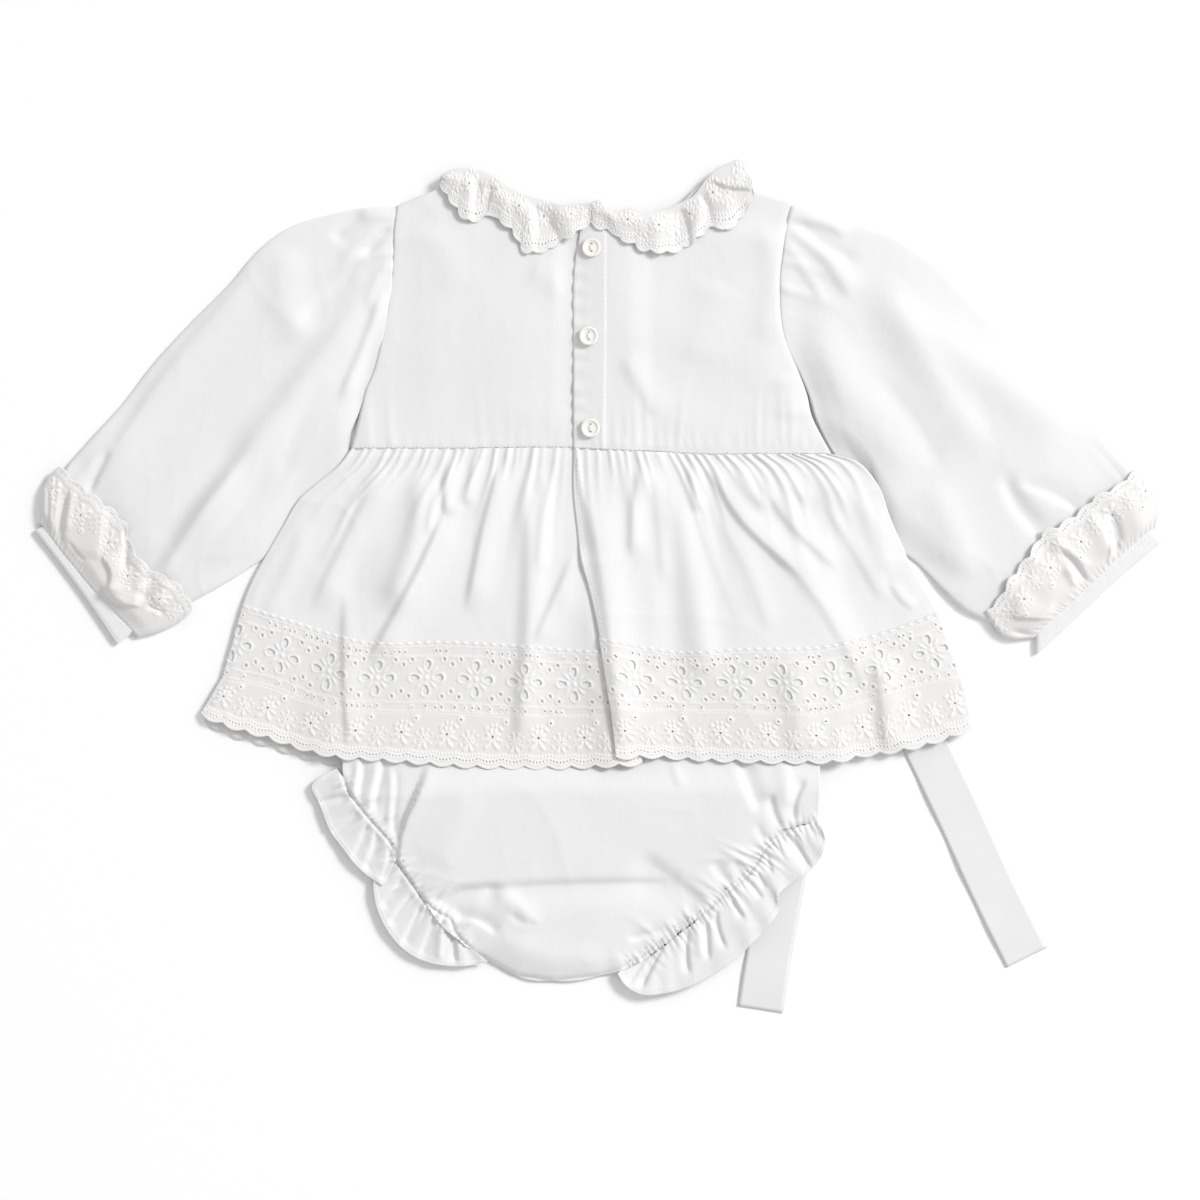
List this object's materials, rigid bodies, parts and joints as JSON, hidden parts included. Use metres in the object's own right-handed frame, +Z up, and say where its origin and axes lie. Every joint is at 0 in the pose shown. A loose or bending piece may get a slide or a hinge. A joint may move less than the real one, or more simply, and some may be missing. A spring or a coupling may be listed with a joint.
{
  "type": "skirted baby blouse and bubble bloomers",
  "caption": "White cotton skirted blouse with eyelet lace and bubble bloomers, laid flat with its buttoned back up.",
  "frame": {"origin": "on the surface the clothes lie on, under the front skirt, near the middle of the whole outfit", "axes": "+X to the wearer's right, +Y from hem to neck, +Z up from the table through the back of the outfit"},
  "size_m": [0.6205, 0.4687, 0.0118],
  "materials": {
    "cotton_lawn": "matt plain-weave cotton",
    "eyelet_lace": "matt cotton with raised white embroidery round eyelets",
    "satin_ribbon": "satin, ribbed edges",
    "button_shell": "polished white"
  },
  "bodies": {
    "root": {"bloomers_back": "cotton_lawn", "bloomers_front": "cotton_lawn", "bodice_back_left": "cotton_lawn", "bodice_back_right": "cotton_lawn", "bodice_front": "cotton_lawn", "button_1": "button_shell", "button_2": "button_shell", "button_3": "button_shell", "button_placket": "cotton_lawn", "collar_frill_front": "eyelet_lace", "collar_frill_left": "eyelet_lace", "collar_frill_right": "eyelet_lace", "cuff_frill_left": "eyelet_lace", "cuff_frill_right": "eyelet_lace", "cuff_left": "cotton_lawn", "cuff_right": "cotton_lawn", "hem_lace_front": "eyelet_lace", "hem_lace_left": "eyelet_lace", "hem_lace_right": "eyelet_lace", "lace_band_front": "eyelet_lace", "lace_band_left": "eyelet_lace", "lace_band_right": "eyelet_lace", "leg_frill_left_front": "cotton_lawn", "leg_frill_left_hip": "cotton_lawn", "leg_frill_left_seat": "cotton_lawn", "leg_frill_right": "cotton_lawn", "leg_frill_right_front": "cotton_lawn", "ribbon_knot": "satin_ribbon", "ribbon_tail_left": "satin_ribbon", "ribbon_tail_right": "satin_ribbon", "skirt_back_left": "cotton_lawn", "skirt_back_right": "cotton_lawn", "skirt_front": "cotton_lawn", "sleeve_left": "cotton_lawn", "sleeve_right": "cotton_lawn"}
  },
  "joints": []
}
